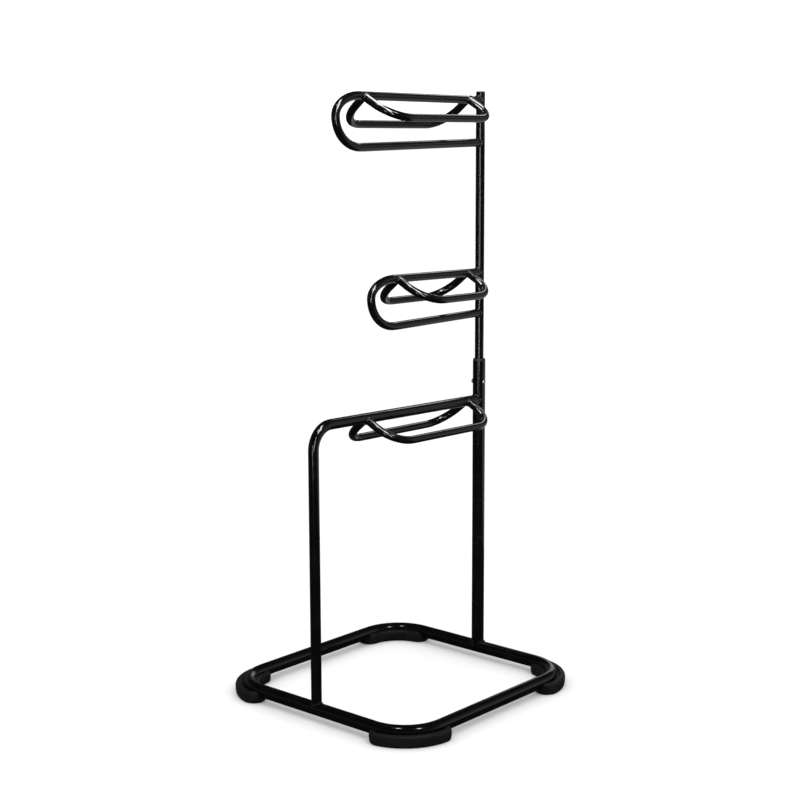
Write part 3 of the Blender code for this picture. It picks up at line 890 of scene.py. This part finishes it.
def studio_floor():
    """Pale floor that runs out of sight, and is dark in reflections as the sky is."""
    work = bmesh.new()
    bmesh.ops.create_circle(work, cap_ends=True, segments=128, radius=FLOOR_RADIUS)
    floor = new_piece("studio_floor", work)
    recipe = Recipe("pale_floor")
    colour = recipe.blend(recipe.noise(scale=1.5), *FLOOR_COLOURS)
    light_path = recipe.node("ShaderNodeLightPath")
    colour = recipe.blend(light_path.outputs["Is Glossy Ray"], colour, (REFLECTED_FLOOR,) * 3)
    recipe.set(Base_Color=colour, Roughness=0.7, Specular_IOR_Level=0.0)
    floor.data.materials.append(recipe.material)
    floor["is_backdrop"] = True


def sky():
    """Even white surround, dark in reflections so that gloss black stays black.

    What gloss reflects is a band along the horizon, which edges the tubes, and a glow from the right
    and behind.
    """
    world = bpy.data.worlds.new("studio")
    bpy.context.scene.world = world
    world.use_nodes = True
    tree = world.node_tree
    tree.nodes.clear()

    def node(kind, **settings):
        """New node in the world, with its settings."""
        made = tree.nodes.new(kind)
        for name, value in settings.items():
            setattr(made, name, value)
        return made

    direction = node("ShaderNodeTexCoord").outputs["Generated"]
    height = node("ShaderNodeSeparateXYZ")
    tree.links.new(direction, height.inputs["Vector"])
    band = node("ShaderNodeMapRange")
    for socket, number in zip(("From Min", "From Max", "To Min", "To Max"), REFLECTED_BAND):
        band.inputs[socket].default_value = number
    tree.links.new(height.outputs["Z"], band.inputs["Value"])
    towards = node("ShaderNodeVectorMath", operation="DOT_PRODUCT")
    towards.inputs[1].default_value = Vector(GLOW_DIRECTION).normalized()
    tree.links.new(direction, towards.inputs[0])
    front = node("ShaderNodeMath", operation="MAXIMUM")
    front.inputs[1].default_value = 0.0
    tree.links.new(towards.outputs["Value"], front.inputs[0])
    narrow = node("ShaderNodeMath", operation="POWER")
    narrow.inputs[1].default_value = GLOW_NARROWNESS
    tree.links.new(front.outputs["Value"], narrow.inputs[0])
    total = node("ShaderNodeMath", operation="MULTIPLY_ADD")
    total.inputs[1].default_value = GLOW
    tree.links.new(narrow.outputs["Value"], total.inputs[0])
    tree.links.new(band.outputs["Result"], total.inputs[2])

    bright, dim = node("ShaderNodeBackground"), node("ShaderNodeBackground")
    for background in (bright, dim):
        background.inputs["Color"].default_value = (1, 1, 1, 1)
    bright.inputs["Strength"].default_value = SKY
    tree.links.new(total.outputs["Value"], dim.inputs["Strength"])
    mix = node("ShaderNodeMixShader")
    tree.links.new(node("ShaderNodeLightPath").outputs["Is Glossy Ray"], mix.inputs["Fac"])
    tree.links.new(bright.outputs["Background"], mix.inputs[1])
    tree.links.new(dim.outputs["Background"], mix.inputs[2])
    tree.links.new(mix.outputs["Shader"], node("ShaderNodeOutputWorld").inputs["Surface"])


def softbox(name, place, target, width, height, power, group=None, turn=0.0):
    """Area light at a place, facing a target and turned by degrees. With a group it lights no other."""
    data = bpy.data.lights.new(name, "AREA")
    data.shape = "RECTANGLE"
    data.size = width
    data.size_y = height
    data.energy = power
    light = bpy.data.objects.new(name, data)
    bpy.context.scene.collection.objects.link(light)
    facing = (Vector(place) - Vector(target)).to_track_quat("Z", "Y").to_matrix().to_4x4()
    light.matrix_world = Matrix.Translation(place) @ facing @ Matrix.Rotation(math.radians(turn), 4, "Z")
    light.visible_camera = False
    if group is not None:
        light.light_linking.receiver_collection = group


def lit_group(name, wanted):
    """Named group of the pieces whose names pass a test."""
    group = bpy.data.collections.new(name)
    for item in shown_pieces():
        if wanted(item.name):
            group.objects.link(item)
    return group


def lights():
    """Two small overheads and a low light behind reach everything, and dot the base's corners.

    The rest are kept off the base and streak the arms' bends; two of them reach only the right hoops.
    """
    base_words = ("ring", "pad", "foot")
    arms = lit_group("arms_and_mast", lambda name: not any(word in name for word in base_words))
    right_hoops = lit_group("right_hoops", lambda name: "right_hoop" in name)
    middle = CAMERA_TARGET
    top = (0.0, -0.20, 1.43)
    hoop_root = (0.04, 0.24, 1.43)
    softbox("overhead_front", (0.40, -1.50, 4.0), middle, 0.46, 0.46, 13)
    softbox("overhead_right", (2.40, -0.36, 3.4), middle, 0.46, 0.46, 16)
    softbox("back_low", (-4.3, 8.8, 3.0), middle, 4.0, 3.0, 24)
    softbox("right_strip", (0.55, -0.42, 2.40), top, 0.28, 1.2, 21, arms)
    softbox("right_bank", (0.94, -0.77, 2.14), top, 0.28, 0.6, 9, arms)
    softbox("side_strip", (1.85, -1.75, 1.35), top, 0.20, 2.0, 17, arms)
    softbox("front_strip", (1.21, -3.23, 0.66), middle, 0.12, 1.3, 8, arms)
    softbox("back_high", (-2.0, 7.6, 6.7), middle, 2.2, 1.3, 30, arms)
    softbox("floor_bounce", (1.2, 3.2, 0.1), (1.2, 3.2, 1.0), 5.0, 4.4, 27, arms)
    # Faces down, but a hair off the vertical, which settles what it is turned from
    softbox("back_strip", (-0.10, 0.25, 2.50), (-0.10, 0.2501, 1.43), 0.35, 1.2, 16, right_hoops, turn=27)
    softbox("left_bank", (-0.85, -0.33, 2.20), hoop_root, 1.2, 0.55, 28, right_hoops)


def camera():
    """The photo's camera, solved from the base ring and the mast."""
    data = bpy.data.cameras.new("camera")
    data.lens = FOCAL_LENGTH
    data.sensor_width = SENSOR_WIDTH
    data.clip_end = SIGHT
    item = bpy.data.objects.new("camera", data)
    bpy.context.scene.collection.objects.link(item)
    azimuth = math.radians(CAMERA_AZIMUTH)
    elevation = math.radians(CAMERA_ELEVATION)
    level = math.cos(elevation)
    outward = Vector((math.sin(azimuth) * level, -math.cos(azimuth) * level, math.sin(elevation)))
    facing = outward.to_track_quat("Z", "Y").to_matrix().to_4x4()
    roll = Matrix.Rotation(math.radians(CAMERA_ROLL), 4, "Z")
    item.matrix_world = Matrix.Translation(Vector(CAMERA_TARGET) + outward * CAMERA_DISTANCE) @ facing @ roll
    bpy.context.scene.camera = item


def main():
    """Build everything."""
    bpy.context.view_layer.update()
    camera()
    steel = powder_coat()
    rubber = pad_rubber()
    plastic = black_plastic()
    zinc = zinc_plate()
    steel_tubes(steel)
    ring_welds(steel)
    arm_welds(steel)
    hoop_welds(steel)
    pads_and_screws(rubber, zinc)
    mast_fittings(plastic, zinc)
    studio_floor()
    sky()
    lights()
    bpy.context.scene.view_settings.view_transform = "Standard"
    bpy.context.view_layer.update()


main()
